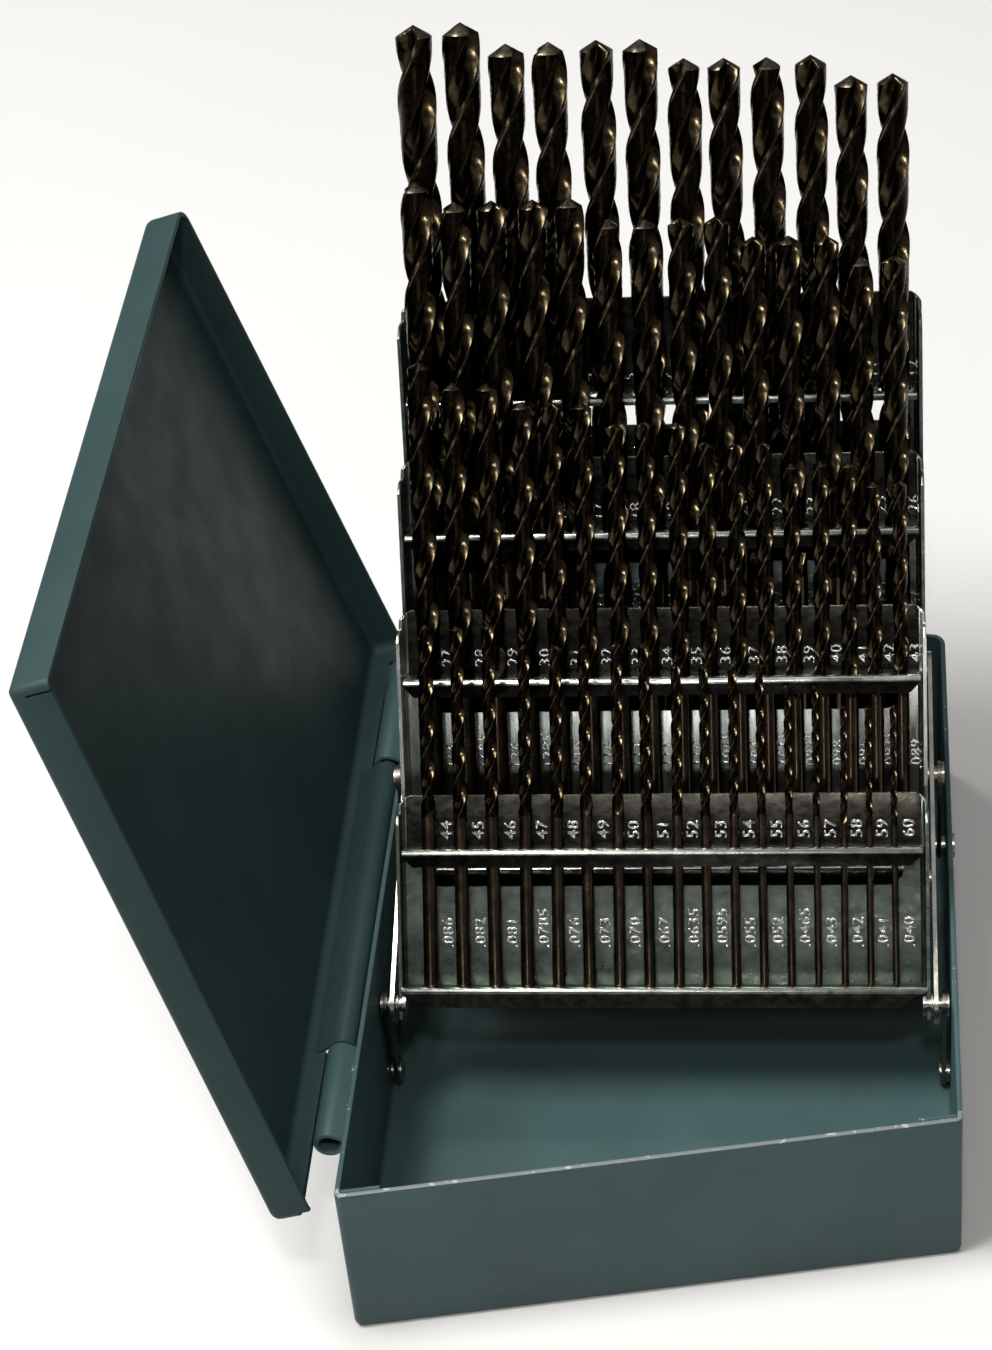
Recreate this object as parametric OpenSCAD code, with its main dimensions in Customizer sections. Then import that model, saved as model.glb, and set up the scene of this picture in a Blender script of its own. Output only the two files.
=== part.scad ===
// Sheet-steel index case for a set of sixty wire-gauge twist drills.
// A tray that is longer on its left side than on its right, a lid hinged on the
// left long side, and four plated racks that stand up in tiers on two side bars
// and fold forward, flat into the tray.
// Millimetres. X to the right, Y to the back, Z up. The origin is on the
// underside of the tray floor, midway across and 56 mm in front of the back wall.
// The case is drawn open, with the racks raised.

/* [Tray] */
// Outside width of the tray
tray_w = 86; // [86:0.2:92]
// Outside length of the left, hinged side
tray_len_left = 120.8; // [120.4:0.2:126]
// Outside length of the right side
tray_len_right = 106; // [105:0.2:112]
// Height of the tray walls
tray_h = 28; // [28:0.5:32]
// Thickness of the painted sheet
sheet = 0.8; // [0.6:0.1:0.8]

/* [Lid] */
// Depth of the lid's turned-down flange, outside
lid_depth = 6; // [5.6:0.2:8]
// Opening angle of the lid, counted from closed
lid_open = 106.4; // [98:0.2:114]
// Gap between the lid flange and the tray wall
lid_gap = 0.4; // [0.3:0.1:0.8]
// Extra room in front of the tray at the hinge end of the lid's front flange
lid_room_hinge = 0.9; // [0:0.1:2]
// Extra room in front of the tray at the free end of the lid's front flange
lid_room_free = 3.2; // [0:0.1:4]

/* [Hinge] */
// Diameter of the hinge pin
hinge_pin_d = 2.1; // [1.6:0.1:2.2]
// Outside diameter of the two tray knuckles
knuckle_d = 4.2; // [4:0.1:4.4]
// Outside diameter of the long lid knuckle
lid_knuckle_d = 3.7; // [3.6:0.1:4]

/* [Racks] */
// Width of each rack across its side flanges
rack_w = 78.4; // [78:0.1:78.4]
// Thickness of the plated sheet
plate = 0.5; // [0.4:0.05:0.6]
// Clearance of each drill in its hole, on the diameter
hole_play = 0.3; // [0.2:0.05:0.5]
// Height of the window under each shelf
window_h = 5.4; // [4.6:0.2:6]

/* [Side links] */
// Width of the two side bars
bar_w = 6; // [5:0.2:6]
// Thickness of the bars and cranks
bar_t = 0.6; // [0.45:0.05:0.6]
// Length of the cranks between their pivots
crank_len = 16.4; // [16.2:0.1:16.6]
// Forward lean of the cranks when the racks are raised
crank_lean = 6.5; // [6:0.5:8]
// Diameter of the pivot pins
pin_d = 2.4; // [2:0.1:2.4]

/* [Hidden] */
$fn = 48;
eps = 0.01;

// the tray in plan: the back wall is square to the sides, the front wall slants
back_y = 56;
half = tray_w / 2;
front_l = back_y - tray_len_left;
front_r = back_y - tray_len_right;
slant = (front_r - front_l) / tray_w;
function front_at(x) = front_l + (x + half) * slant;
// plan outline moved out (or in, when d is negative) by d on all four sides
function outline(d) = let (k = d * sqrt(1 + slant * slant)) [
    [-half - d, front_at(-half - d) - k], [half + d, front_at(half + d) - k],
    [half + d, back_y + d], [-half - d, back_y + d]];

// hinge axis, along Y, just outside the top of the left wall
hinge_x = -half - 2.0;
hinge_z = tray_h - 1.4;
bore_d = hinge_pin_d + 0.1;
knuckles = [[-54, -36], [26, 50]];
lid_knuckle = [-35.5, 25.5];

// pivots in the side view, as [y, z], racks raised, front rack first
pivot = [[-19.2, 19.4], [-1.0, 27.4], [14.6, 34.3], [30.6, 41.3]];
// how far each rack leans back from upright
lean = [35.8, 28.8, 25.3, 20.7];
// height of each panel above its ledge, and of its shelf above its ledge
panel_h = [28.4, 38.6, 46.6, 56.0];
shelf_h = [20.6, 28.8, 36.1, 42.0];
// the ledge stands this far above the pivot
ear = 2.6;
ear_r = 2.4;
pivot_n = [1.8, 2.0, 2.7, 4.2];
lip = 2.6;
// turned-down lip of each shelf; the back rack has only a short one
shelf_lip = [2.6, 2.6, 2.6, 1.0];

// drill sizes: number, diameter in inches
gauge = [.2280, .2210, .2130, .2090, .2055, .2040, .2010, .1990, .1960, .1935,
    .1910, .1890, .1850, .1820, .1800, .1770, .1730, .1695, .1660, .1610,
    .1590, .1570, .1540, .1520, .1495, .1470, .1440, .1405, .1360, .1285,
    .1200, .1160, .1130, .1110, .1100, .1065, .1040, .1015, .0995, .0980,
    .0960, .0935, .0890, .0860, .0820, .0810, .0785, .0760, .0730, .0700,
    .0670, .0635, .0595, .0550, .0520, .0465, .0430, .0420, .0410, .0400];
function dia(n) = gauge[n - 1] * 25.4;
// overall length in eighths of an inch
function eighths(n) = n <= 2 ? 31 : n <= 6 ? 30 : n <= 10 ? 29 : n <= 13 ? 28 : n <= 17 ? 27
    : n <= 21 ? 26 : n <= 24 ? 25 : n <= 27 ? 24 : n <= 29 ? 23 : n <= 32 ? 22 : n <= 35 ? 21
    : n <= 38 ? 20 : n <= 41 ? 19 : n <= 43 ? 18 : n <= 46 ? 17 : n <= 51 ? 16 : n <= 55 ? 15
    : n <= 57 ? 14 : 13;
function long(n) = eighths(n) * 25.4 / 8;
// racks by index 0 (front) to 3 (back): first and last drill number of each
first = [44, 27, 13, 1];
last = [60, 43, 26, 12];
function rack_of(n) = n >= 44 ? 0 : n >= 27 ? 1 : n >= 13 ? 2 : 3;
// holes run from left to right with a pitch that shrinks with the drills
pitch0 = [4.90, 5.00, 5.75, 6.77];
pitch_step = [0.080, 0.082, 0.060, 0.090];
x_start = [-34.5, -34.6, -34.8, -34.6];
function hole_x(k, i) = x_start[k] + pitch0[k] * i - pitch_step[k] * i * (i - 1) / 2;
// drill axes stand this far in front of the panel; depth of shelf and ledge
function axis_n(k) = 0.3 + dia(first[k]) / 2;
function depth(k) = axis_n(k) + dia(first[k]) / 2 + 0.8;

// side view places across the case
ear_out = rack_w / 2;
bar_in = ear_out + 0.5;
crank_in = bar_in + bar_t + 0.6;
crank_out = crank_in + bar_t;
// the front cranks carry the bars at the front rack, the rear cranks at the third
crank_foot = [for (p = [pivot[0], pivot[2]])
    [p[0] + crank_len * sin(crank_lean), p[1] - crank_len * cos(crank_lean)]];

// ---- helpers ----

// a disc along X, from x0 to x1, at y and z
module xdisc(x0, x1, y, z, d) {
    translate([min(x0, x1), y, z]) rotate([0, 90, 0]) cylinder(h = abs(x1 - x0), d = d);
}

// a flat link along X with round ends between two points in the side view
module link(x0, x1, a, b, w) {
    xdisc(x0, x1, a[0], a[1], w);
    xdisc(x0, x1, b[0], b[1], w);
    l = norm(b - a);
    ang = atan2(b[1] - a[1], b[0] - a[0]);
    translate([min(x0, x1), a[0], a[1]]) rotate([ang, 0, 0])
        translate([0, 0, -w / 2]) cube([abs(x1 - x0), l, w]);
}

// moves children from rack coordinates (X across, Y = behind the panel, Z = up
// the panel from the ledge) to the raised rack
module on_rack(k) {
    translate([0, pivot[k][0], pivot[k][1]]) rotate([-lean[k], 0, 0])
        translate([0, pivot_n[k], ear]) children();
}

// ---- tray ----

module tray() {
    color([0.30, 0.35, 0.38]) difference() {
        union() {
            difference() {
                linear_extrude(tray_h) polygon(outline(0));
                translate([0, 0, sheet]) linear_extrude(tray_h) polygon(outline(-sheet));
            }
            for (k = knuckles) {
                // rolled knuckle and the tongue that joins it to the wall
                translate([hinge_x, k[0], hinge_z]) rotate([-90, 0, 0]) cylinder(h = k[1] - k[0], d = knuckle_d);
                translate([hinge_x, k[0], tray_h - sheet]) cube([2.4, k[1] - k[0], sheet]);
            }
        }
        for (k = knuckles)
            translate([hinge_x, k[0] - 1, hinge_z]) rotate([-90, 0, 0]) cylinder(h = k[1] - k[0] + 2, d = bore_d);
        // rivet holes for the cranks
        for (f = crank_foot) for (s = [-1, 1])
            xdisc(s * (half - sheet - 1), s * (half + 1), f[0], f[1], pin_d + 0.1);
    }
}

// ---- lid, drawn closed and then swung open about the hinge ----

lid_out = lid_gap + sheet;
lid_left = hinge_x - sheet / 2;
lid_top = tray_h - sheet + lid_depth;
// the lid covers the tray from the hinge flange to the free flange
function lid_front(x) = front_at(x) - lid_out * sqrt(1 + slant * slant)
    - lid_room_hinge - (lid_room_free - lid_room_hinge) * (x + half) / tray_w;
function lid_plan(d) = let (k = d * sqrt(1 + slant * slant), r = half + lid_out + d, l = lid_left - d) [
    [l, lid_front(l) - k],
    [r, lid_front(r) - k],
    [r, back_y + lid_out + d], [l, back_y + lid_out + d]];

module lid_closed() {
    difference() {
        union() {
            difference() {
                translate([0, 0, lid_top - lid_depth]) linear_extrude(lid_depth) polygon(lid_plan(0));
                translate([0, 0, lid_top - lid_depth - sheet]) linear_extrude(lid_depth) polygon(lid_plan(-sheet));
            }
            // long knuckle under the hinge flange
            translate([hinge_x, lid_knuckle[0], hinge_z]) rotate([-90, 0, 0])
                cylinder(h = lid_knuckle[1] - lid_knuckle[0], d = lid_knuckle_d);
        }
        // pin bore
        translate([hinge_x, lid_knuckle[0] - 1, hinge_z]) rotate([-90, 0, 0])
            cylinder(h = lid_knuckle[1] - lid_knuckle[0] + 2, d = bore_d);
        // the hinge flange is cut back around the tray knuckles and at both corners
        for (c = [[front_l - 8, lid_knuckle[0]], [lid_knuckle[1], back_y + 5]])
            translate([hinge_x - 3, c[0], hinge_z - 3]) cube([4.6, c[1] - c[0], 3 + knuckle_d / 2 + 0.5]);
    }
}

module lid() {
    color([0.26, 0.32, 0.35])
        translate([hinge_x, 0, hinge_z]) rotate([0, -lid_open, 0]) translate([-hinge_x, 0, -hinge_z])
            lid_closed();
}

module hinge_pin() {
    color([0.72, 0.72, 0.70])
        translate([hinge_x, knuckles[0][0] + 5, hinge_z]) rotate([-90, 0, 0])
            cylinder(h = knuckles[1][1] - knuckles[0][0] - 10, d = hinge_pin_d);
}

// ---- racks ----

// one rack, a single plated sheet: panel with a window, shelf and ledge bent
// forward with turned-down lips, and a side flange at each end
module rack_body(k) {
    d = depth(k);
    h = panel_h[k];
    s = shelf_h[k];
    n0 = last[k] - first[k];
    win = ear_out - 2.6;
    shelf_half = ear_out - plate - 0.3;
    difference() {
        union() {
            // panel
            translate([-ear_out, 0, -plate]) cube([rack_w, plate, h + plate - 2]);
            translate([-ear_out + 2, 0, h - 2 - eps]) cube([rack_w - 4, plate, 2 + eps]);
            for (sx = [-1, 1]) translate([sx * (ear_out - 2), plate, h - 2]) rotate([90, 0, 0]) cylinder(h = plate, r = 2);
            // shelf and its lip
            translate([-shelf_half, -d, s - plate]) cube([2 * shelf_half, d + eps, plate]);
            translate([-shelf_half, -d, s - shelf_lip[k]]) cube([2 * shelf_half, plate, shelf_lip[k]]);
            // ledge and its lip
            translate([-ear_out + 0.1, -d, -plate]) cube([rack_w - 0.2, d + eps, plate]);
            translate([-ear_out + 2.4, -d, -lip]) cube([rack_w - 4.8, plate, lip]);
            // side flanges, each with a round ear around its pivot
            for (sx = [-1, 1]) {
                translate([sx > 0 ? ear_out - plate : -ear_out, -d + 0.8, -ear]) cube([plate, d - 0.8 + eps, h + ear - 2.6]);
                xdisc(sx * (ear_out - plate), sx * ear_out, -pivot_n[k], -ear, 2 * ear_r);
            }
        }
        // window under the shelf, with round ends
        wz = s - plate - window_h;
        translate([-win + window_h / 2 + 1, -1, wz]) cube([2 * win - window_h - 2, 1 + plate + 1, window_h]);
        for (sx = [-1, 1]) translate([sx * (win - window_h / 2 - 1), plate + 1, wz + window_h / 2])
            rotate([90, 0, 0]) cylinder(h = plate + 2, d = window_h);
        // a hole in the shelf for every drill
        for (i = [0 : n0]) translate([hole_x(k, i), -axis_n(k), s - plate - 1])
            cylinder(h = plate + 2, d = dia(first[k] + i) + hole_play);
        // pivot holes
        for (sx = [-1, 1]) xdisc(sx * (ear_out - 2), sx * (ear_out + 1), -pivot_n[k], -ear, pin_d + 0.1);
    }
}

module rack_1_front() { color([0.78, 0.78, 0.75]) on_rack(0) rack_body(0); }
module rack_2() { color([0.76, 0.76, 0.73]) on_rack(1) rack_body(1); }
module rack_3() { color([0.74, 0.74, 0.71]) on_rack(2) rack_body(2); }
module rack_4_back() { color([0.72, 0.72, 0.69]) on_rack(3) rack_body(3); }

// ---- side links ----

module side_bar(s) {
    color([0.80, 0.80, 0.77]) difference() {
        link(s * bar_in, s * (bar_in + bar_t), pivot[0], pivot[3], bar_w);
        for (p = pivot) xdisc(s * (bar_in - 1), s * (bar_in + bar_t + 1), p[0], p[1], pin_d + 0.1);
    }
}
module side_bar_left() { side_bar(-1); }
module side_bar_right() { side_bar(1); }

// crank between a pivot on the tray wall and one on the side bar
module crank(s, i) {
    p = pivot[i == 0 ? 0 : 2];
    f = crank_foot[i];
    color([0.45, 0.45, 0.43]) difference() {
        link(s * crank_in, s * crank_out, f, p, 4);
        for (q = [f, p]) xdisc(s * (crank_in - 1), s * (crank_out + 1), q[0], q[1], pin_d + 0.1);
    }
}
module front_crank_left() { crank(-1, 0); }
module front_crank_right() { crank(1, 0); }
module rear_crank_left() { crank(-1, 1); }
module rear_crank_right() { crank(1, 1); }

// pin with a head inside the rack ear and a collar between ear and bar
module rack_pin(s, p, x_end) {
    xdisc(s * (ear_out - plate - 0.6), s * x_end, p[0], p[1], pin_d);
    xdisc(s * (ear_out - plate - 0.6), s * (ear_out - plate - 0.1), p[0], p[1], pin_d + 1.2);
    xdisc(s * (ear_out + 0.1), s * (bar_in - 0.1), p[0], p[1], pin_d + 1.2);
}
// second and fourth racks: ear and bar only, flush with the outside of the bar,
// because the rear crank passes over them
module rack_pins_short() {
    color([0.70, 0.70, 0.68]) for (s = [-1, 1]) for (i = [1, 3]) rack_pin(s, pivot[i], bar_in + bar_t);
}
// first and third racks: ear, bar and crank, with a head outside the crank
module rack_pins_long() {
    color([0.70, 0.70, 0.68]) for (s = [-1, 1]) for (i = [0, 2]) {
        rack_pin(s, pivot[i], crank_out + 0.4);
        xdisc(s * (crank_out + 0.1), s * (crank_out + 0.4), pivot[i][0], pivot[i][1], pin_d + 1.2);
    }
}
// rivets that hold the cranks to the tray walls
module case_rivets() {
    color([0.62, 0.62, 0.60]) for (s = [-1, 1]) for (f = crank_foot) {
        xdisc(s * (crank_in - 0.3), s * (half + 0.6), f[0], f[1], pin_d);
        xdisc(s * (crank_in - 0.3), s * (crank_in - 0.1), f[0], f[1], pin_d + 1);
        xdisc(s * (crank_out + 0.1), s * (half - sheet - 0.1), f[0], f[1], pin_d + 1);
        xdisc(s * (half + 0.1), s * (half + 0.6), f[0], f[1], pin_d + 1.4);
    }
}

// ---- drills ----

// a straight-shank drill standing on its shank end, with a 118 degree point
module drill(n) {
    r = dia(n) / 2;
    point = r / tan(59);
    cylinder(h = long(n) - point, r = r);
    translate([0, 0, long(n) - point - eps]) cylinder(h = point, r1 = r, r2 = 0.05);
}
// drills a to b, each in its hole, standing just above the ledge
module drills(a, b) {
    k = rack_of(a);
    color([0.42, 0.33, 0.20]) on_rack(k) for (n = [a : b])
        translate([hole_x(k, n - first[k]), -axis_n(k), 0.05]) drill(n);
}

tray();
lid();
hinge_pin();
rack_1_front();
rack_2();
rack_3();
rack_4_back();
side_bar_left();
side_bar_right();
front_crank_left();
front_crank_right();
rear_crank_left();
rear_crank_right();
rack_pins_short();
rack_pins_long();
case_rivets();
drills(1, 2);  // drills_01_02
drills(3, 6);  // drills_03_06
drills(7, 10);  // drills_07_10
drills(11, 12);  // drills_11_12
drills(13, 13);  // drills_13
drills(14, 17);  // drills_14_17
drills(18, 21);  // drills_18_21
drills(22, 24);  // drills_22_24
drills(25, 26);  // drills_25_26
drills(27, 27);  // drills_27
drills(28, 29);  // drills_28_29
drills(30, 32);  // drills_30_32
drills(33, 35);  // drills_33_35
drills(36, 38);  // drills_36_38
drills(39, 41);  // drills_39_41
drills(42, 43);  // drills_42_43
drills(44, 46);  // drills_44_46
drills(47, 51);  // drills_47_51
drills(52, 55);  // drills_52_55
drills(56, 57);  // drills_56_57
drills(58, 60);  // drills_58_60
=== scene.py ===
import math
import random
import bpy
import numpy as np
from mathutils import Matrix, Vector


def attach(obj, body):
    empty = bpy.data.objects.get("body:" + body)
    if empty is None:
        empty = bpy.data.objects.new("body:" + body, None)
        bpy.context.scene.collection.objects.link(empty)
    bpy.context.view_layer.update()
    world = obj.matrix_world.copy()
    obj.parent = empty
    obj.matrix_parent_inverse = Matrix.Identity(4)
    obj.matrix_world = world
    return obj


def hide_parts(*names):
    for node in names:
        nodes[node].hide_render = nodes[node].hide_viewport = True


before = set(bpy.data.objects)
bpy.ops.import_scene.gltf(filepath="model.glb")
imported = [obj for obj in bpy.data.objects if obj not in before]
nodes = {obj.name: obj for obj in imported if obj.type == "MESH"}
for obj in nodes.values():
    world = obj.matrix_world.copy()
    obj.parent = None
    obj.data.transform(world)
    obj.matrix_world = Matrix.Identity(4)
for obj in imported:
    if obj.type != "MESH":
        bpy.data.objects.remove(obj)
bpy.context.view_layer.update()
MM = 0.001
sc = bpy.context.scene

# ---------------------------------------------------------------- sizes, in mm, as in the CAD
HALF, BACK, FL, FR, TH, SH = 43.0, 56.0, -64.8, -50.0, 28.0, 0.8
SL = (FR - FL) / (2 * HALF)
HX, HZ = -45.0, 26.6
OPEN = 106.4
KN = [(-54.0, -36.0), (26.0, 50.0)]
LK = (-35.5, 25.5)
PIVOT = [(-19.2, 19.4), (-1.0, 27.4), (14.6, 34.3), (30.6, 41.3)]
LEAN = [35.8, 28.8, 25.3, 20.7]
PH = [28.4, 38.6, 46.6, 56.0]
SHF = [20.6, 28.8, 36.1, 42.0]
PN = [1.8, 2.0, 2.7, 4.2]
EAR, EAR_R, LIP, PL, WIN, RW = 2.6, 2.4, 2.6, 0.5, 5.4, 78.4
SHELF_LIP = [2.6, 2.6, 2.6, 1.0]
GAUGE = [.2280, .2210, .2130, .2090, .2055, .2040, .2010, .1990, .1960, .1935,
         .1910, .1890, .1850, .1820, .1800, .1770, .1730, .1695, .1660, .1610,
         .1590, .1570, .1540, .1520, .1495, .1470, .1440, .1405, .1360, .1285,
         .1200, .1160, .1130, .1110, .1100, .1065, .1040, .1015, .0995, .0980,
         .0960, .0935, .0890, .0860, .0820, .0810, .0785, .0760, .0730, .0700,
         .0670, .0635, .0595, .0550, .0520, .0465, .0430, .0420, .0410, .0400]
FIRST, LAST = [44, 27, 13, 1], [60, 43, 26, 12]
PITCH0, STEP = [4.90, 5.00, 5.75, 6.77], [0.080, 0.082, 0.060, 0.090]
X0 = [-34.5, -34.6, -34.8, -34.6]


def dia(n):
    return GAUGE[n - 1] * 25.4


def upto(n, table):
    for top, v in table:
        if n <= top:
            return v


def overall(n):
    return upto(n, [(2, 31), (6, 30), (10, 29), (13, 28), (17, 27), (21, 26), (24, 25), (27, 24), (29, 23),
                    (32, 22), (35, 21), (38, 20), (41, 19), (43, 18), (46, 17), (51, 16), (55, 15), (57, 14), (60, 13)]) * 25.4 / 8


def flute(n):
    return upto(n, [(2, 42), (6, 40), (10, 39), (13, 37), (17, 35), (21, 34), (24, 32), (27, 30), (29, 28), (32, 26),
                    (35, 24), (38, 23), (41, 22), (43, 20), (46, 18), (51, 16), (55, 14), (57, 12), (60, 11)]) * 25.4 / 16


def hole_x(k, i):
    return X0[k] + PITCH0[k] * i - STEP[k] * i * (i - 1) / 2


def axis_n(k):
    return 0.3 + dia(FIRST[k]) / 2


def depth(k):
    return axis_n(k) + dia(FIRST[k]) / 2 + 0.8


def rack_matrix(k):
    return (Matrix.Translation((0, PIVOT[k][0], PIVOT[k][1])) @ Matrix.Rotation(math.radians(-LEAN[k]), 4, "X")
            @ Matrix.Translation((0, PN[k], EAR)))


# ---------------------------------------------------------------- mesh helpers
def smooth(me, angle=32.0):
    import bmesh
    bm = bmesh.new()
    bm.from_mesh(me)
    bmesh.ops.remove_doubles(bm, verts=bm.verts, dist=1e-6)
    bmesh.ops.recalc_face_normals(bm, faces=bm.faces)
    lim = math.radians(angle)
    for f in bm.faces:
        f.smooth = True
    for e in bm.edges:
        e.smooth = not (len(e.link_faces) != 2 or e.calc_face_angle(0) > lim)
    bm.to_mesh(me)
    bm.free()


def mesh(name, verts, faces, matrix=None, mats=(), idx=None, angle=32.0):
    """verts in mm"""
    me = bpy.data.meshes.new(name)
    v = np.asarray(verts, float)
    if matrix is not None:
        m = np.array(matrix)
        v = v @ m[:3, :3].T + m[:3, 3]
    me.from_pydata((v * MM).tolist(), [], [tuple(int(i) for i in f) for f in faces])
    for m_ in mats:
        me.materials.append(m_)
    if idx is not None:
        me.polygons.foreach_set("material_index", np.asarray(idx, np.int32))
    me.validate()
    smooth(me, angle)
    o = bpy.data.objects.new(name, me)
    sc.collection.objects.link(o)
    return o


class Build:
    """collects solids in mm"""

    def __init__(self):
        self.v, self.f, self.i, self.n = [], [], [], 0

    def add(self, v, f, mat=0):
        v = np.asarray(v, float)
        self.v.append(v)
        self.f += [tuple(int(a) + self.n for a in q) for q in f]
        self.i += [mat] * len(f) if np.isscalar(mat) else list(mat)
        self.n += len(v)

    def make(self, name, matrix=None, mats=(), angle=32.0):
        return mesh(name, np.vstack(self.v), self.f, matrix, mats, self.i, angle)


def loft(loops, cap0=True, cap1=True):
    n = len(loops[0])
    v = np.vstack(loops)
    f = []
    for a in range(len(loops) - 1):
        for j in range(n):
            k = (j + 1) % n
            f.append((a * n + j, a * n + k, (a + 1) * n + k, (a + 1) * n + j))
    if cap0:
        f.append(tuple(range(n - 1, -1, -1)))
    if cap1:
        f.append(tuple((len(loops) - 1) * n + j for j in range(n)))
    return v, f


def arc(cx, cy, r, a0, a1, n):
    return [(cx + r * math.cos(math.radians(a0 + (a1 - a0) * i / n)),
             cy + r * math.sin(math.radians(a0 + (a1 - a0) * i / n))) for i in range(n + 1)]


def sheet(path, t, lo, hi, put, rim=True, steps=1):
    """A bent sheet: path is its midline in a plane, lo and hi its ends across, as
    functions of the path's point number, and put turns (u, v, w) into x, y, z."""
    p = np.array(path, float)
    d = np.gradient(p, axis=0)
    seg = np.diff(p, axis=0)
    seg /= np.linalg.norm(seg, axis=1)[:, None] + 1e-12
    nrm = np.zeros_like(p)
    for i in range(len(p)):
        a = seg[max(i - 1, 0)]
        b = seg[min(i, len(seg) - 1)]
        m = a + b
        m /= np.linalg.norm(m) + 1e-12
        nn = np.array([-m[1], m[0]])
        nrm[i] = nn / max(0.5, float(m @ b))
    h = t / 2
    loops = []
    for i in range(len(p)):
        l, u = lo(i), hi(i)
        ring = []
        if rim:
            r = h * 0.96
            for s, w in [(-h, l + r)] + [(-h, l + r + (u - l - 2 * r) * q / steps) for q in range(1, steps)] + [(-h, u - r), (-h * .72, u - r * .3), (0, u), (h * .72, u - r * .3), (h, u - r)] + \
                        [(h, u - r - (u - l - 2 * r) * q / steps) for q in range(1, steps)] + [(h, l + r), (h * .72, l + r * .3), (0, l), (-h * .72, l + r * .3)]:
                ring.append((p[i, 0] + nrm[i, 0] * s, p[i, 1] + nrm[i, 1] * s, w))
        else:
            for s, w in [(-h, l), (-h, u), (h, u), (h, l)]:
                ring.append((p[i, 0] + nrm[i, 0] * s, p[i, 1] + nrm[i, 1] * s, w))
        loops.append(np.array([put(*q) for q in ring]))
    return loft(loops)


def bend(points, r, n=6):
    """rounds the corners of a polyline"""
    out = [points[0]]
    for i in range(1, len(points) - 1):
        a, b, c = map(np.array, (points[i - 1], points[i], points[i + 1]))
        u = (a - b) / np.linalg.norm(a - b)
        w = (c - b) / np.linalg.norm(c - b)
        ang = math.acos(max(-1, min(1, float(u @ w))))
        if ang > math.radians(178):
            out.append(tuple(b))
            continue
        cut = min(r / math.tan(ang / 2), np.linalg.norm(a - b) * .48, np.linalg.norm(c - b) * .48)
        rr = cut * math.tan(ang / 2)
        bis = (u + w) / np.linalg.norm(u + w)
        cen = b + bis * rr / math.sin(ang / 2)
        s, e = b + u * cut - cen, b + w * cut - cen
        a0 = math.atan2(s[1], s[0])
        a1 = math.atan2(e[1], e[0])
        while a1 - a0 > math.pi:
            a1 -= 2 * math.pi
        while a1 - a0 < -math.pi:
            a1 += 2 * math.pi
        for q in range(n + 1):
            z = a0 + (a1 - a0) * q / n
            out.append((cen[0] + rr * math.cos(z), cen[1] + rr * math.sin(z)))
    out.append(points[-1])
    return out


def cylinder_y(x, z, r, y0, y1, n=24):
    return loft([np.array([(x + r * math.cos(2 * math.pi * j / n), y, z + r * math.sin(2 * math.pi * j / n)) for j in range(n)]) for y in (y0, y1)])


def box_mesh(lo, hi):
    (a, b, c), (d, e, f) = lo, hi
    return loft([np.array([(a, b, z), (d, b, z), (d, e, z), (a, e, z)]) for z in (c, f)])


def cut(obj, cutter):
    """obj minus cutter, the result put back into obj's mesh"""
    m = obj.modifiers.new("cut", "BOOLEAN")
    m.operation, m.solver, m.object = "DIFFERENCE", "EXACT", cutter
    bpy.context.view_layer.update()
    ev = obj.evaluated_get(bpy.context.evaluated_depsgraph_get())
    me = bpy.data.meshes.new_from_object(ev)
    obj.modifiers.remove(m)
    old = obj.data
    obj.data = me
    bpy.data.meshes.remove(old)
    cm = cutter.data
    bpy.data.objects.remove(cutter)
    bpy.data.meshes.remove(cm)
    smooth(obj.data)
    return obj


# ---------------------------------------------------------------- materials
def material(name):
    m = bpy.data.materials.new(name)
    m.use_nodes = True
    nt = m.node_tree
    b = nt.nodes["Principled BSDF"]
    return m, nt, b


def N(nt, kind, **kw):
    n = nt.nodes.new(kind)
    for k, v in kw.items():
        if k in n.inputs and not hasattr(n, k):
            n.inputs[k].default_value = v
        elif hasattr(n, k):
            setattr(n, k, v)
        else:
            n.inputs[k].default_value = v
    return n


def ramp(nt, fac, stops, mode="LINEAR"):
    r = nt.nodes.new("ShaderNodeValToRGB")
    r.color_ramp.interpolation = mode
    el = r.color_ramp.elements
    while len(el) < len(stops):
        el.new(0.5)
    for e, (p, c) in zip(el, stops):
        e.position = p
        e.color = (c, c, c, 1) if np.isscalar(c) else (*c, 1)
    nt.links.new(fac, r.inputs[0])
    return r.outputs[0]


def math_node(nt, op, a, b=None):
    n = nt.nodes.new("ShaderNodeMath")
    n.operation = op
    for i, x in enumerate((a, b)):
        if x is None:
            continue
        if np.isscalar(x):
            n.inputs[i].default_value = x
        else:
            nt.links.new(x, n.inputs[i])
    return n.outputs[0]


def mix(nt, fac, a, b):
    n = nt.nodes.new("ShaderNodeMix")
    n.data_type = "RGBA"
    for i, x in ((0, fac), (6, a), (7, b)):
        if isinstance(x, (tuple, list)):
            n.inputs[i].default_value = (*x, 1)
        elif np.isscalar(x):
            n.inputs[i].default_value = x
        else:
            nt.links.new(x, n.inputs[i])
    return n.outputs[2]


def noise(nt, scale, detail=3.0, rough=0.5, stretch=None, distort=0.0):
    tc = nt.nodes.new("ShaderNodeTexCoord")
    src = tc.outputs["Object"]
    if stretch:
        mp = nt.nodes.new("ShaderNodeMapping")
        mp.inputs["Scale"].default_value = stretch
        nt.links.new(src, mp.inputs["Vector"])
        src = mp.outputs[0]
    n = nt.nodes.new("ShaderNodeTexNoise")
    n.inputs["Scale"].default_value = scale
    n.inputs["Detail"].default_value = detail
    n.inputs["Roughness"].default_value = rough
    n.inputs["Distortion"].default_value = distort
    nt.links.new(src, n.inputs["Vector"])
    return n.outputs["Fac"]


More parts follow.
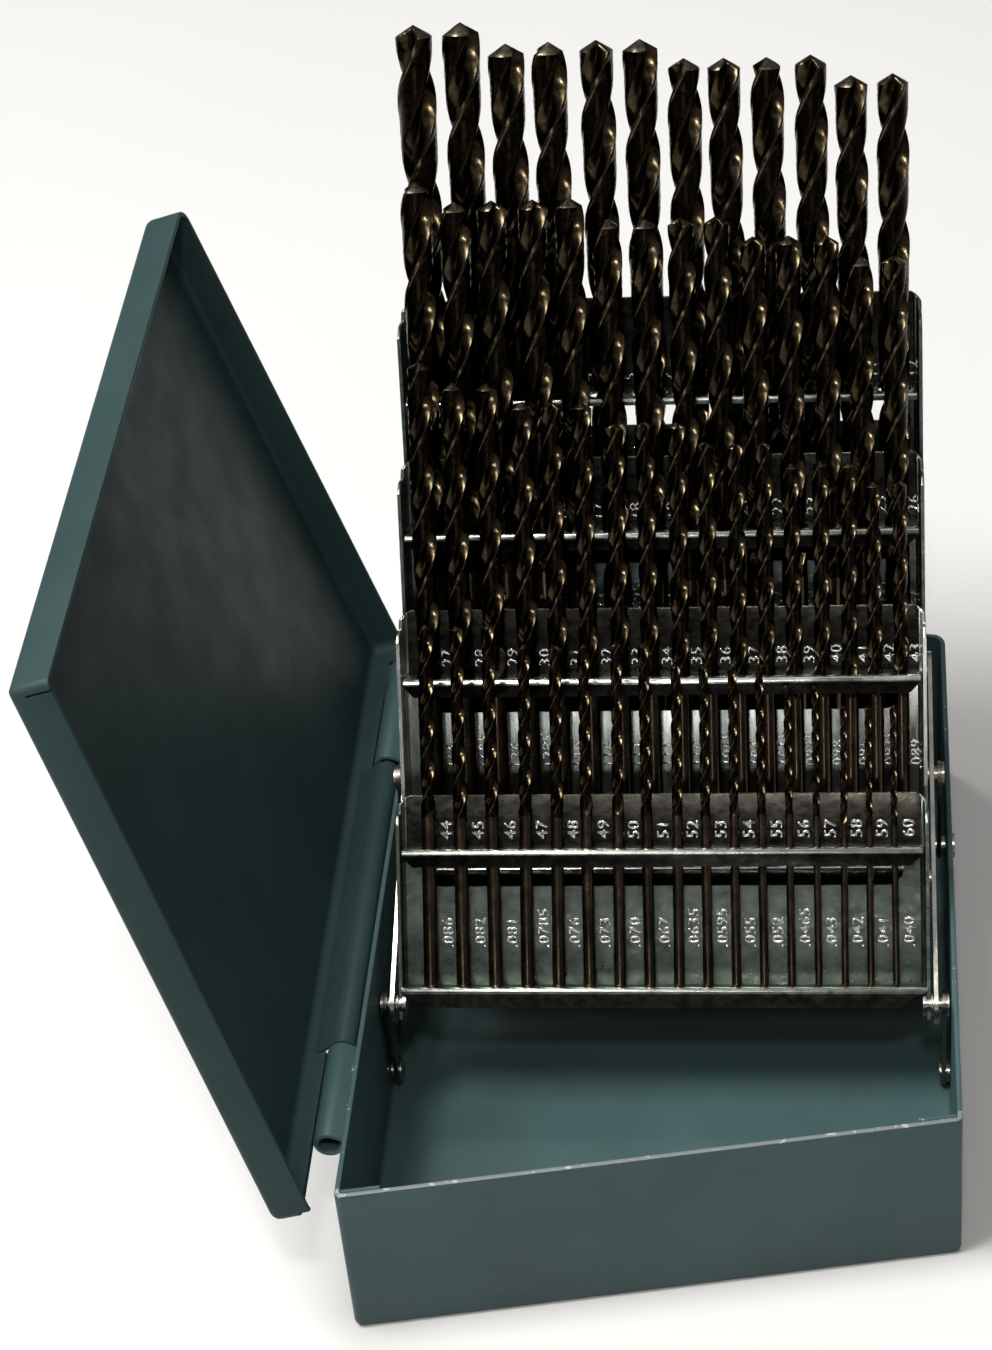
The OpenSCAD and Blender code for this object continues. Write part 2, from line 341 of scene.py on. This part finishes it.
def axis_value(nt, axis):
    tc = nt.nodes.new("ShaderNodeTexCoord")
    s = nt.nodes.new("ShaderNodeSeparateXYZ")
    nt.links.new(tc.outputs["Object"], s.inputs[0])
    return s.outputs[axis]


def bump(nt, b, height, strength, distance):
    n = nt.nodes.new("ShaderNodeBump")
    n.inputs["Strength"].default_value = strength
    n.inputs["Distance"].default_value = distance
    nt.links.new(height, n.inputs["Height"])
    nt.links.new(n.outputs[0], b.inputs["Normal"])


def paint(name, colour, chips, spec=.26):
    m, nt, b = material(name)
    big = noise(nt, 35, 4, .6)
    fine = noise(nt, 900, 2, .6)
    dark = tuple(c * .84 for c in colour)
    light = tuple(c * 1.14 for c in colour)
    col = mix(nt, ramp(nt, big, [(.3, 0), (.7, 1)]), dark, light)
    col = mix(nt, ramp(nt, noise(nt, 2600, 1, .5), [(.35, 0), (.75, .22)]), col, tuple(c * 1.5 for c in colour))
    rough = ramp(nt, noise(nt, 120, 4, .6), [(.3, .42), (.7, .56)])
    if chips:
        # bare metal showing in small chips along the cut top edge of the front wall
        z = axis_value(nt, 2)
        y = axis_value(nt, 1)
        x = axis_value(nt, 0)
        slope = math_node(nt, "SUBTRACT", y, math_node(nt, "MULTIPLY", x, SL))
        front = math_node(nt, "LESS_THAN", slope, (FL + HALF * SL + 1.75) * MM)
        n1 = noise(nt, 520, 5, .7)
        lim = math_node(nt, "SUBTRACT", (TH + .06) * MM, math_node(nt, "MULTIPLY", ramp(nt, n1, [(.56, 0), (.82, 1)]), .9 * MM))
        top = math_node(nt, "GREATER_THAN", z, lim)
        rim = math_node(nt, "GREATER_THAN", z, (TH - 1.2) * MM)
        spot = math_node(nt, "MULTIPLY", math_node(nt, "MULTIPLY", top, front), rim)
        sides = math_node(nt, "GREATER_THAN", z, math_node(nt, "SUBTRACT", (TH + .32) * MM, math_node(nt, "MULTIPLY", ramp(nt, n1, [(.5, 0), (.8, 1)]), .7 * MM)))
        line = math_node(nt, "MULTIPLY", front, math_node(nt, "GREATER_THAN", z, (TH - .13) * MM))
        col = mix(nt, math_node(nt, "MULTIPLY", line, .55), col, (.17, .18, .175))
        chip = math_node(nt, "MAXIMUM", spot, math_node(nt, "MULTIPLY", sides, math_node(nt, "LESS_THAN", z, (TH + .05) * MM)))
        col = mix(nt, chip, col, (.26, .29, .285))
        rough = mix(nt, chip, rough, (.35, .35, .35))
    nt.links.new(col, b.inputs["Base Color"])
    nt.links.new(rough, b.inputs["Roughness"])
    b.inputs["Specular IOR Level"].default_value = spec
    hgt = mix(nt, .35, fine, noise(nt, 260, 3, .55))
    bump(nt, b, hgt, .22, .00012)
    return m


def metal(name, lo, hi, r0, r1, scale=240, stretch=None, bump_strength=.15, bump_scale=900, aniso=0.0):
    m, nt, b = material(name)
    b.inputs["Metallic"].default_value = 1.0
    n = noise(nt, scale, 4, .6, stretch)
    nt.links.new(mix(nt, ramp(nt, n, [(.3, 0), (.72, 1)]), lo, hi), b.inputs["Base Color"])
    nt.links.new(ramp(nt, noise(nt, scale * 2.1, 3, .6, stretch), [(.3, r0), (.7, r1)]), b.inputs["Roughness"])
    if aniso:
        b.inputs["Anisotropic"].default_value = aniso
    bump(nt, b, noise(nt, bump_scale, 3, .6, stretch), bump_strength, .00008)
    return m


PAINT_TRAY = paint("paint_tray", (.029, .058, .059), True)
# the lid's paint is a darker copy of the tray's paint: painted shade for the lid's inside
PAINT_LID_SHADED = paint("paint_lid_painted_shade", (.017, .034, .0345), False, .12)
PLATE = metal("rack_plate", (.080, .095, .083), (.188, .215, .190), .24, .42, 420, (.8, 1, 1.2), .22, 900)
# a darker copy of the rack plate: painted dark reflection, for the panel above the shelf and the shelf and ledge lips
PLATE_DARK_REFLECTION = metal("rack_plate_painted_dark_reflection", (.009, .0085, .007), (.034, .033, .028), .20, .36, 420, (.8, 1, 1.2), .16, 900)
# a lighter copy of the rack plate with upright streaks: painted bright reflections, for rack 2
PLATE_BRIGHT_REFLECTION = metal("rack_plate_painted_bright_reflection", (.12, .13, .115), (.80, .83, .78), .16, .30, 95, (1.7, 1, .10), .14, 900)
# a near-white copy of the rack plate: painted highlight on the front bends of the shelf and ledge
BEND_HIGHLIGHT = metal("rack_bend_painted_highlight", (.62, .63, .60), (.92, .93, .90), .14, .26, 700, (.6, 1, 1), .10, 1200)
# a brighter metal than the plate for the stamped numbers: painted highlight
DIGIT_HIGHLIGHT = metal("rack_numbers_painted_highlight", (.50, .51, .48), (.85, .86, .82), .14, .26, 900, None, .10, 1600)
LINK = metal("link_plate", (.24, .24, .21), (.42, .41, .37), .20, .36, 260, None, .12)
CRANK = metal("crank_plate", (.07, .066, .055), (.18, .17, .14), .25, .42, 260, None, .12)
PIN = metal("pin_steel", (.211, .205, .186), (.322, .310, .279), .22, .38, 500, None, .10)
WIRE = metal("hinge_wire", (.30, .30, .28), (.45, .44, .41), .28, .45, 600, (1, .1, 1), .10)
SHANK = metal("drill_shank", (.050, .038, .025), (.145, .108, .070), .16, .30, 420, (1, 1, .18), .12, 1500)
LAND = metal("drill_land", (.006, .0045, .003), (.026, .018, .011), .18, .34, 900, None, .16, 2200)
FLUTE = metal("drill_flute", (.008, .0062, .0038), (.066, .050, .028), .13, .26, 700, None, .14, 1800)
POINT = metal("drill_point", (.035, .030, .020), (.20, .17, .12), .18, .34, 900, None, .12, 2200)


# ---------------------------------------------------------------- tray
def outline(d, r, z, seg=6, front=None, left=None, right=None, back=None, n_edge=1):
    """trapezoid grown by d with rounded corners, as points at height z"""
    k = math.sqrt(1 + SL * SL)
    fy = front or (lambda x: FL + (x + HALF) * SL)
    L = (-HALF if left is None else left) - d
    R = (HALF if right is None else right) + d
    B = (BACK if back is None else back) + d
    c = [np.array((L, fy(L) - d * k)), np.array((R, fy(R) - d * k)), np.array((R, B)), np.array((L, B))]
    rr = [r] * 4 if np.isscalar(r) else r
    pts = []
    for i in range(4):
        a, b, e = c[i - 1], c[i], c[(i + 1) % 4]
        u = (a - b) / np.linalg.norm(a - b)
        w = (e - b) / np.linalg.norm(e - b)
        ang = math.acos(float(u @ w))
        q = max(rr[i], .02)
        t = q / math.tan(ang / 2)
        cen = b + (u + w) / np.linalg.norm(u + w) * q / math.sin(ang / 2)
        s, f = b + u * t - cen, b + w * t - cen
        a0, a1 = math.atan2(s[1], s[0]), math.atan2(f[1], f[0])
        while a1 < a0:
            a1 += 2 * math.pi
        for j in range(seg + 1):
            g = a0 + (a1 - a0) * j / seg
            pts.append((cen[0] + q * math.cos(g), cen[1] + q * math.sin(g), z))
    return np.array(pts)


def corner(base, d):
    return [max(.05, b + d) for b in base]


def make_tray():
    b = Build()
    rc = [1.0, 1.0, 2.4, 2.4]
    loops = []
    r = 1.3
    for a in range(0, 91, 18):
        s, c = math.sin(math.radians(a)), math.cos(math.radians(a))
        loops.append(outline(-r + r * s, corner(rc, -r + r * s), r - r * c))
    for d, z in ((0, TH - .3), (-.08, TH - .08), (-.3, TH), (-.5, TH), (-.72, TH - .08), (-SH, TH - .3)):
        loops.append(outline(d, corner(rc, d), z))
    r = 1.0
    for a in range(0, 91, 18):
        s, c = math.sin(math.radians(a)), math.cos(math.radians(a))
        d = -SH - r + r * c
        loops.append(outline(d, corner(rc, d), SH + r - r * s))
    b.add(*loft(loops))
    # the side walls' corner flaps lie inside the front wall
    k = math.sqrt(1 + SL * SL)
    for x0, x1 in ((-HALF + SH - .02, -HALF + 6.3), (HALF - 6.0, HALF - SH + .02)):
        def at(x, off):
            return (x, FL + (x + HALF) * SL + (SH + off) * k)
        lps = []
        for z, g in ((SH + .05, 0), (TH - .32, 0), (TH - .14, .12)):
            lps.append(np.array([(*at(x0, .02 + g), z), (*at(x1 - g, .02 + g), z), (*at(x1 - g, .74 - g), z), (*at(x0, .74 - g), z)]))
        b.add(*loft(lps))
    # rolled knuckles: the wall's tongue runs over the hinge pin and curls back under it
    for y0, y1 in KN:
        path = [(-42.75, 26.2), (-42.7, 27.1), (-43.1, 27.62), (-43.7, 27.9)] + arc(HX, HZ, 1.82, 66, 352, 26)
        b.add(*sheet(bend(path[:4], .4, 3)[:-1] + path[4:], .78, lambda i: y0, lambda i: y1, lambda u, v, w: (u, w, v)))
    o = b.make("tray_shell", mats=[PAINT_TRAY], angle=28)
    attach(o, "case")
    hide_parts("tray")
    return o


def lid_front(x):
    return FL + (x + HALF) * SL - 1.2 * math.sqrt(1 + SL * SL) - .9 - 2.3 * (x + HALF) / (2 * HALF)


def make_lid():
    b = Build()
    k = math.sqrt(1 + SL * SL)
    rc = [2.2, 1.2, 3.2, 2.4]
    left, right, back = HX - .4, HALF + 1.2, BACK + 1.2
    top, rim = TH - SH + 6, TH - SH

    def at(d, z, r=None):
        return outline(d, corner(rc, d) if r is None else r, z, 7, lid_front, left, right, back)

    loops = []
    ro = 1.3
    for a in range(0, 91, 15):
        s, c = math.sin(math.radians(a)), math.cos(math.radians(a))
        loops.append(at(-ro + ro * s, top - ro + ro * c))
    for d, z in ((0, rim + .3), (-.08, rim + .08), (-.3, rim), (-.5, rim), (-.72, rim + .08), (-SH, rim + .3)):
        loops.append(at(d, z))
    ri = 1.1
    for a in range(0, 91, 15):
        s, c = math.sin(math.radians(a)), math.cos(math.radians(a))
        loops.append(at(-SH - ri + ri * c, top - SH - ri + ri * s))
    b.add(*loft(loops))
    o = b.make("lid_shell", mats=[PAINT_LID_SHADED], angle=28)
    # the hinge flange is cut back around the tray's knuckles, and the corners are open slits
    xr = HALF + 1.2
    slit = loft([np.array([(xr - 1.7, lid_front(xr) - 2, z), (xr - 1.15, lid_front(xr) - 2, z), (xr - 1.35, lid_front(xr) + 1.3, z), (xr - 1.55, lid_front(xr) + 1.3, z)]) for z in (rim - 2, rim + 3.6)])
    for solid in (box_mesh((HX - 3, FL - 12, HZ - 4), (HX + 1.2, LK[0], HZ + 2.6)), box_mesh((HX - 3, LK[1], HZ - 4), (HX + 1.2, BACK - 3.5, HZ + 2.6)),
                  box_mesh((HX - 3, LK[0] - .02, HZ - 4), (HX + 1.2, LK[1] + .02, HZ + 4.2)), slit):
        c = Build()
        c.add(*solid)
        cut(o, c.make("cutter"))
    # the flange curls round the hinge pin between the tray's knuckles
    b = Build()
    path = bend([(HX, HZ + 4.7), (HX + .01, HZ + 4.3), (HX + 1.40, HZ + .75), (HX + 1.5, HZ + .2)], .9, 4)[:-1] + arc(HX, HZ, 1.48, 4, -228, 24)
    b.add(*sheet(path, .76, lambda i: LK[0], lambda i: LK[1], lambda u, v, w: (u, w, v)))
    o2 = b.make("lid_curl", mats=[PAINT_LID_SHADED], angle=28)
    swing = Matrix.Translation((HX * MM, 0, HZ * MM)) @ Matrix.Rotation(math.radians(-OPEN), 4, "Y") @ Matrix.Translation((-HX * MM, 0, -HZ * MM))
    for x in (o, o2):
        x.data.transform(swing)
        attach(x, "lid")
    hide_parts("lid")
    return o


# ---------------------------------------------------------------- racks
def rack_labels(k, body):
    """plain stamped size numbers beside each hole, as raised strokes in a brighter metal, a painted highlight"""
    b = Build()
    n0 = FIRST[k]
    for n in range(FIRST[k], LAST[k] + 1):
        x = hole_x(k, n - n0)
        nxt = hole_x(k, n - n0 + 1) if n < LAST[k] else x + PITCH0[k] * .8
        tail = f"{GAUGE[n - 1]:.4f}"[1:]
        tail = tail[:-1] if tail.endswith("0") else tail
        for text, z0, size in ((str(n), SHF[k] + 1.2, 2.6), (tail, SHF[k] - PL - WIN - 9.2, 2.5)):
            cu = bpy.data.curves.new("t", "FONT")
            cu.body, cu.size, cu.extrude, cu.resolution_u = text, size, .03, 2
            cu.bevel_depth, cu.bevel_resolution, cu.space_character = .055, 1, 1.08
            ob = bpy.data.objects.new("t", cu)
            sc.collection.objects.link(ob)
            bpy.context.view_layer.update()
            me = bpy.data.meshes.new_from_object(ob.evaluated_get(bpy.context.evaluated_depsgraph_get()))
            v = np.array([p.co for p in me.vertices]).reshape(-1, 3)
            f = [tuple(p.vertices) for p in me.polygons]
            bpy.data.objects.remove(ob)
            bpy.data.curves.remove(cu)
            bpy.data.meshes.remove(me)
            if not len(v):
                continue
            v[:, :2] -= v[:, :2].min(0)
            size = v[:, 1].max()
            xm = x + dia(n) / 2 + (nxt - x - dia(n) / 2 - dia(min(n + 1, LAST[k])) / 2) / 2
            # read upwards, standing proud of the front of the panel
            w = np.c_[xm + size / 2 - v[:, 1], -v[:, 2] - .03, z0 + v[:, 0]]
            b.add(w, f)
    o = b.make(f"rack_{k + 1}_sizes", rack_matrix(k), [DIGIT_HIGHLIGHT], 50)
    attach(o, body)


def make_rack(k, node):
    d, h, s = depth(k), PH[k], SHF[k]
    ex = RW / 2
    b = Build()
    m = PL / 2
    # panel and side flanges, one bent strip seen from above
    yf = -d + .8
    side = [(-ex + m, y) for y in np.arange(yf, -1.3, .22)]
    path = bend([side[0], (-ex + m, m), (ex - m, m), (ex - m, yf)], .75, 6)
    left = [(-ex + m, y) for y in np.arange(yf, -.6, .2)]
    mid = path[1:-1]
    path = left + mid + [(-x, y) for x, y in reversed(left)]

    def lo(i):
        x, y = path[i]
        if abs(x) > ex - m - .02 and y < -.45:
            q = y + PN[k]
            return -EAR - math.sqrt(max(0, EAR_R ** 2 - q * q)) if abs(q) < EAR_R else -EAR
        if y < m - .1:
            w = (y + .45) / (m + .35)
            return -EAR * (1 - w) - .45 * w
        return -.45

    def hi(i):
        x, y = path[i]
        r = 2.2
        if abs(x) > ex - m - .02:
            t = (y - yf) / max(.1, -yf)
            return h - 2.6 - 1.6 * (1 - min(1, t * 2.2)) ** 2
        q = max(0, abs(x) - (ex - r))
        return h - 2.6 + 2.6 * math.sqrt(max(0, 1 - (q / r) ** 2)) if q > 0 else h

    wide = np.linspace(-(ex - 2.3), ex - 2.3, 9)
    # extra points along the panel near its corners, so that the top corners come out round
    xs = list(np.linspace(-(ex - 1.0), -(ex - 2.3), 6)) + list(wide[1:-1]) + list(np.linspace(ex - 2.3, ex - 1.0, 6))
    path = [p for p in path if p[0] < -(ex - 1.02)] + [(x, m) for x in xs] + [p for p in path if p[0] > ex - 1.02]
    b.add(*sheet(path, PL, lo, hi, lambda u, v, w: (u, v, w)))
    o = b.make(f"rack_{k + 1}_sheet", None, [PLATE])
    # window below the shelf and pivot holes
    c = Build()
    wz = s - PL - WIN
    wx = ex - 2.6 - 1
    ring = arc(wx - WIN / 2, wz + WIN / 2, WIN / 2, -90, 90, 12) + arc(-wx + WIN / 2, wz + WIN / 2, WIN / 2, 90, 270, 12)
    c.add(*loft([np.array([(x, y, z) for x, z in ring]) for y in (-.9, 1.6)]))
    for sx in (-1, 1):
        c.add(*loft([np.array([(x, -PN[k] + 1.25 * math.cos(2 * math.pi * j / 24), -EAR + 1.25 * math.sin(2 * math.pi * j / 24)) for j in range(24)]) for x in sorted((sx * (ex - 1.5), sx * (ex + 1)))]))
    cut(o, c.make("cutter"))
    import bmesh
    bm = bmesh.new()
    bm.from_mesh(o.data)
    bmesh.ops.bisect_plane(bm, geom=bm.verts[:] + bm.edges[:] + bm.faces[:], plane_co=(0, 0, (s - m) * MM), plane_no=(0, 0, 1))
    bm.to_mesh(o.data)
    bm.free()
    parts = [o]
    # shelf with its lip and a hole for every drill
    sh = ex - PL - .3
    slip = SHELF_LIP[k]
    pth = bend([(.1, s - m), (-d + m, s - m), (-d + m, s - slip)], min(.65, slip * .5), 6)

    def end(i, full, cutb):
        y, z = pth[i]
        drop = max(0, (s - m - .4 - z) / (LIP - m - .4)) if slip > 2 else 0
        return full - cutb * drop ** 2.2

    b = Build()
    b.add(*sheet(pth, PL, lambda i: -end(i, sh, 1.6), lambda i: end(i, sh, 1.6), lambda u, v, w: (w, u, v), steps=1))
    o = b.make("shelf", None, [PLATE])
    c = Build()
    for n in range(FIRST[k], LAST[k] + 1):
        x, r = hole_x(k, n - FIRST[k]), dia(n) / 2 + .15
        c.add(*loft([np.array([(x + r * math.cos(2 * math.pi * j / 20), -axis_n(k) + r * math.sin(2 * math.pi * j / 20), z) for j in range(20)]) for z in (s - 1.4, s + 1)]))
    cut(o, c.make("cutter"))
    parts.append(o)
    # ledge with its lip, the lip's ends cut off at a slant
    pth2 = bend([(.1, -m), (-d + m, -m), (-d + m, -LIP - .35)], .65, 6)

    def end2(i):
        y, z = pth2[i]
        drop = max(0, min(1, (-m - .4 - z) / (LIP - m - .2)))
        return ex - .25 - 4.2 * drop

    b = Build()
    b.add(*sheet(pth2, PL, lambda i: -end2(i), end2, lambda u, v, w: (w, u, v)))
    parts.append(b.make("ledge", None, [PLATE]))
    # one object
    bb = Build()
    for p in parts:
        lim = (None, s - m, -m)[parts.index(p)]
        if lim is None:
            # the panel above the shelf takes the darker plate copy, a painted dark reflection
            up = [int(f.center.z > (s - m) * MM and abs(f.center.x) < (ex - 1.2) * MM and f.center.y < .1 * MM) for f in p.data.polygons]
        else:
            # the lips take the darker plate copy, a painted dark reflection, and the front bends the painted highlight
            up = [1 if f.center.z < (lim - .75) * MM else 2 if f.center.y < (-d + 1.0) * MM and f.center.z > (lim - .1) * MM else 0 for f in p.data.polygons]
        bb.add(np.array([v.co for v in p.data.vertices]).reshape(-1, 3) / MM, [tuple(f.vertices) for f in p.data.polygons], up)
        me = p.data
        bpy.data.objects.remove(p)
        bpy.data.meshes.remove(me)
    # rack 2's plate is the copy with painted bright reflection streaks
    o = bb.make(f"rack_{k + 1}_sheet", rack_matrix(k), [PLATE_BRIGHT_REFLECTION if k == 1 else PLATE, PLATE_DARK_REFLECTION, BEND_HIGHLIGHT], 30)
    body = f"rack_{k + 1}"
    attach(o, body)
    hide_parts(node)
    rack_labels(k, body)
    return o


# ---------------------------------------------------------------- drills
PROFILE = [(0, 1.0, 1), (5, 1.0, 1), (10, 1.0, 1), (13, .955, 0), (30, .95, 0), (50, .95, 0), (74, .945, 0), (90, .925, 0),
           (99, .86, 2), (106, .70, 2), (114, .54, 2), (124, .41, 2), (137, .33, 2), (150, .33, 2), (161, .44, 2), (169, .62, 2), (174.5, .80, 2), (178.3, .95, 2)]
HALF_N = len(PROFILE)
PA = np.radians([a for a, _, _ in PROFILE] + [a + 180 for a, _, _ in PROFILE])
PR = np.array([r for _, r, _ in PROFILE] * 2)
PM = [m for _, _, m in PROFILE] * 2


def drill_solid(b, n, base, tilt, turn, extra):
    R = dia(n) / 2
    L = overall(n) + extra
    F = flute(n)
    point = R / math.tan(math.radians(59))
    pitch = 2 * math.pi * R / math.tan(math.radians(29))
    fade = 1.5 * R * 2
    z0 = L - F
    # shank
    zs, ws = [0, .25, .3 + .02 * R], [0, 0, 0]
    rad = [R * .80, R * .97, R]
    zs = [0.0, R * .12, R * .3]
    rad = [R * .86, R * .975, R]
    zs += [z0 * .5, z0 - .01]
    rad += [R, R]
    loops = []
    m = len(PA)
    mats = []

    def ring(z, f, w, cap=None):
        """f fades the flutes in, w is the turn"""
        r = R * (1 - f) + R * PR * f if np.isscalar(f) else R * ((1 - f) + PR * f)
        if cap is not None:
            r = np.minimum(r, cap)
        a = PA + w
        return np.c_[r * np.cos(a), r * np.sin(a), np.full(m, z)]

    w0 = turn
    for z, r in zip(zs, rad):
        a = PA + w0
        loops.append(np.c_[r * np.cos(a), r * np.sin(a), np.full(m, z)])
        mats.append(None)
    step = pitch / 30
    cnt = max(8, int(math.ceil((F - point) / step)))
    for q in range(cnt + 1):
        z = z0 + (F - point) * q / cnt
        f = min(1, (z - z0) / fade)
        f = math.sin(f * math.pi / 2) ** 1.2 if f > 0 else 0.0
        loops.append(ring(z, f, w0 + 2 * math.pi * (z - z0) / pitch))
        mats.append(f)
    for q in range(1, 7):
        z = L - point + point * q / 6.0 * .985
        loops.append(ring(z, 1.0, w0 + 2 * math.pi * (z - z0) / pitch, (L - z) * math.tan(math.radians(59))))
        mats.append("p")
    v, faces = loft(loops)
    idx = []
    for a in range(len(loops) - 1):
        for j in range(m):
            t = mats[a + 1]
            if mats[a] is None and t is None or t == 0.0:
                idx.append(0)
            elif t == "p":
                idx.append(2 if PM[j] == 2 else 3)
            elif t is not None and t < .12:
                idx.append(0)
            else:
                idx.append({0: 1, 1: 4, 2: 2}[PM[j]])
    idx += [0, 3]
    # lean in the hole, then to its place
    tx, ty = tilt
    v = np.array(v)
    v[:, 0] += v[:, 2] * tx
    v[:, 1] += v[:, 2] * ty
    v += np.array(base)
    b.add(v, faces, idx)


TIP_DX = {3: [.1, .3, .1, -.35, .35, .35, .35, -.25, -.1, .35, .1, .35], 2: [0] * 14}
GROUPS = [(1, 2), (3, 6), (7, 10), (11, 12), (13, 13), (14, 17), (18, 21), (22, 24), (25, 26), (27, 27), (28, 29), (30, 32),
          (33, 35), (36, 38), (39, 41), (42, 43), (44, 46), (47, 51), (52, 55), (56, 57), (58, 60)]
MARGIN = metal("drill_margin", (.028, .022, .013), (.155, .120, .070), .16, .30, 900, None, .10, 2200)


def make_drills():
    rng = random.Random(7)
    for a, c in GROUPS:
        k = 0 if a >= 44 else 1 if a >= 27 else 2 if a >= 13 else 3
        b = Build()
        for n in range(a, c + 1):
            i = n - FIRST[k]
            lim = .11 / SHF[k]
            tx = rng.uniform(-lim, lim)
            if k == 3:
                tx = TIP_DX[3][i] * .9 / 98.0 * (.11 / .13)
            ty = rng.uniform(-lim, lim * .2)
            drill_solid(b, n, (hole_x(k, i), -axis_n(k), .05), (tx, ty), rng.uniform(0, math.pi), rng.uniform(-.35, .0))
        name = f"drills_{a:02d}_{c:02d}" if a != c else f"drills_{a:02d}"
        o = b.make("twist_" + name, rack_matrix(k), [SHANK, LAND, FLUTE, POINT, MARGIN], 38)
        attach(o, f"rack_{k + 1}")
        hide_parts(name)


# ---------------------------------------------------------------- carried-over nodes
def dress(node, mat, width=.1):
    o = nodes[node]
    o.data.materials.clear()
    o.data.materials.append(mat)
    for p in o.data.polygons:
        p.material_index = 0
    if width:
        m = o.modifiers.new("edge", "BEVEL")
        m.width, m.segments, m.limit_method, m.angle_limit = width * MM, 2, "ANGLE", math.radians(40)


make_tray()
make_lid()
for k_, node_ in enumerate(("rack_1_front", "rack_2", "rack_3", "rack_4_back")):
    make_rack(k_, node_)
make_drills()
dress("hinge_pin", WIRE)
for s_ in ("left", "right"):
    dress("side_bar_" + s_, LINK)
    dress("front_crank_" + s_, CRANK)
    dress("rear_crank_" + s_, CRANK)
dress("rack_pins_short", PIN)
dress("rack_pins_long", PIN)
dress("case_rivets", PIN)

# ---------------------------------------------------------------- floor, light and camera
fm, nt, b_ = material("floor")
nt.links.new(mix(nt, ramp(nt, noise(nt, 3, 2, .5), [(.3, 0), (.7, 1)]), (.47, .47, .467), (.50, .50, .497)), b_.inputs["Base Color"])
b_.inputs["Roughness"].default_value = .8
b_.inputs["Specular IOR Level"].default_value = .1
me = bpy.data.meshes.new("floor")
s = 1.3
me.from_pydata([(-s, -s, 0), (s, -s, 0), (s, s, 0), (-s, s, 0)], [], [(0, 1, 2, 3)])
me.materials.append(fm)
floor = bpy.data.objects.new("floor", me)
sc.collection.objects.link(floor)

world = bpy.data.worlds.new("studio")
sc.world = world
world.use_nodes = True
nt = world.node_tree
bg = nt.nodes["Background"]
tc = nt.nodes.new("ShaderNodeTexCoord")
sep = nt.nodes.new("ShaderNodeSeparateXYZ")
nt.links.new(tc.outputs["Generated"], sep.inputs[0])
# a soft sky, bright overhead, with a dark room in front of the object
sky = ramp(nt, sep.outputs[2], [(0.0, .08), (.35, .13), (.75, .36), (1.0, .75)])
aim = nt.nodes.new("ShaderNodeVectorMath")
aim.operation = "DOT_PRODUCT"
aim.inputs[1].default_value = (0.0, -.95, .31)
nt.links.new(tc.outputs["Generated"], aim.inputs[0])
room = ramp(nt, aim.outputs["Value"], [(.70, 1.0), (.90, .55)], "EASE")
bg_col = math_node(nt, "MULTIPLY", sky, room)
lp = nt.nodes.new("ShaderNodeLightPath")
nt.links.new(mix(nt, lp.outputs["Is Camera Ray"], bg_col, (.86, .86, .855)), bg.inputs["Color"])
bg.inputs["Strength"].default_value = 1.0

R = Matrix(((0.99363, 0.011123, 0.112137), (0.078913, 0.641698, -0.762887), (-0.080444, 0.766877, 0.636733)))
eye = Vector((31.269, -365.604, 372.122)) * MM
cam = bpy.data.cameras.new("camera")
cam.sensor_fit = "AUTO"
cam.sensor_width = 36
cam.lens = 3334.17 * 36 / 1350
cam.clip_start = .01
co = bpy.data.objects.new("camera", cam)
co.matrix_world = Matrix.Translation(eye) @ R.to_4x4()
sc.collection.objects.link(co)
sc.camera = co


def area(name, loc, target, size, power, colour=(1, 1, 1), size_y=None):
    l = bpy.data.lights.new(name, "AREA")
    l.shape = "RECTANGLE" if size_y else "DISK"
    l.size = size
    if size_y:
        l.size_y = size_y
    l.energy = power
    l.color = colour
    o = bpy.data.objects.new(name, l)
    o.location = loc
    o.rotation_mode = "QUATERNION"
    o.rotation_quaternion = (Vector(target) - Vector(loc)).to_track_quat("-Z", "Y")
    o.visible_camera = False
    sc.collection.objects.link(o)
    return o


area("top_soft", (-.36, -.13, 1.0), (0, -.01, .03), .42, 17.5, (1, .99, .97))
area("left_soft", (-.95, -.75, .75), (0, 0, .04), .6, .5, (.98, .99, 1))
area("spark_front", (.04, -.52, .86), (0, 0, .06), .085, 3.2, (1, .97, .92))
area("low_front", (0, -1.15, .41), (0, 0, .05), .34, .42, (1, .99, .98), .10)
area("left_strip", (-.45, -.95, .68), (0, 0, .05), .10, .10, (1, .98, .95))
area("spark_back", (-.25, .35, .80), (0, .02, .06), .12, 1.6, (1, .97, .92))

sc.view_settings.view_transform = "Standard"
sc.view_settings.look = "None"
sc.view_settings.exposure = 0.0
